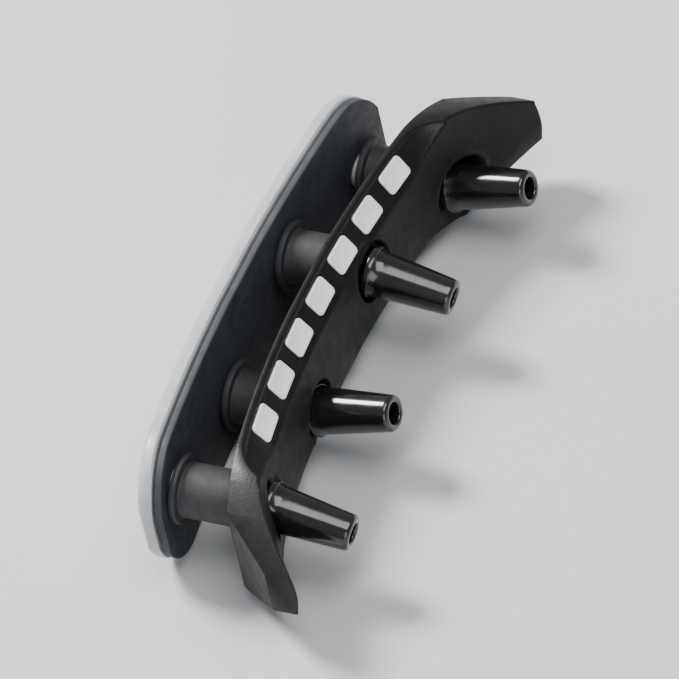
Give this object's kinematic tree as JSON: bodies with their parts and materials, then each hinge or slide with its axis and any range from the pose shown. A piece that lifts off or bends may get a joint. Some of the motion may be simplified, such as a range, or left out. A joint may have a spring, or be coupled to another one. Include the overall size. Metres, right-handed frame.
{
  "type": "vibration dampener",
  "caption": "Soft black saddle for a racket's throat bridge, with tapered string collars, isolating sleeves and a barrel strip on the far side.",
  "frame": {"origin": "middle of the flat land on the carrier's bridge side, on the string plane and midway between the two inner strings", "axes": "+X along the bridge, +Y along the strings towards the string bed, +Z normal to the string plane"},
  "size_m": [0.0492, 0.0172, 0.0114],
  "materials": {
    "elastomer": "satin moulded elastomer, fine spark texture",
    "collar": "glossy black elastomer",
    "carrier": "glass-filled nylon",
    "sleeve": "matt soft elastomer",
    "cushion": "matt dark slate elastomer",
    "strip": "satin pale grey nylon",
    "mark": "satin white inlay"
  },
  "bodies": {
    "saddle": {"damper_saddle": "elastomer", "saddle_carrier": "carrier", "isolator_sleeve_1": "sleeve", "isolator_sleeve_2": "sleeve", "isolator_sleeve_3": "sleeve", "isolator_sleeve_4": "sleeve", "front_mark_1": "mark", "front_mark_2": "mark", "front_mark_3": "mark", "front_mark_4": "mark", "front_mark_5": "mark", "front_mark_6": "mark", "front_mark_7": "mark", "rear_mark_1": "mark", "rear_mark_2": "mark", "rear_mark_3": "mark", "rear_mark_4": "mark", "rear_mark_5": "mark", "rear_mark_6": "mark", "rear_mark_7": "mark"},
    "collar_1": {"string_collar_1": "collar"},
    "collar_2": {"string_collar_2": "collar"},
    "collar_3": {"string_collar_3": "collar"},
    "collar_4": {"string_collar_4": "collar"},
    "strip": {"barrel_strip": "strip", "strip_cushion": "cushion"}
  },
  "joints": [
    {"name": "collar_1_sway", "type": "hinge", "parent": "saddle", "child": "collar_1", "pos_m": [-0.01777, 0.00367, -0.0014], "axis": [1, 0, 0], "range_deg": [-5, 5], "stiffness_Nm_per_rad": 0.06},
    {"name": "collar_2_sway", "type": "hinge", "parent": "saddle", "child": "collar_2", "pos_m": [-0.00592, 0.00219, 0.0014], "axis": [1, 0, 0], "range_deg": [-5, 5], "stiffness_Nm_per_rad": 0.06},
    {"name": "collar_3_sway", "type": "hinge", "parent": "saddle", "child": "collar_3", "pos_m": [0.00592, 0.00219, -0.0014], "axis": [1, 0, 0], "range_deg": [-5, 5], "stiffness_Nm_per_rad": 0.06},
    {"name": "collar_4_sway", "type": "hinge", "parent": "saddle", "child": "collar_4", "pos_m": [0.01777, 0.00367, 0.0014], "axis": [1, 0, 0], "range_deg": [-5, 5], "stiffness_Nm_per_rad": 0.06},
    {"name": "strip_pull", "type": "slide", "parent": "saddle", "child": "strip", "axis": [0, -1, 0], "range_m": [0, 0.006]}
  ]
}
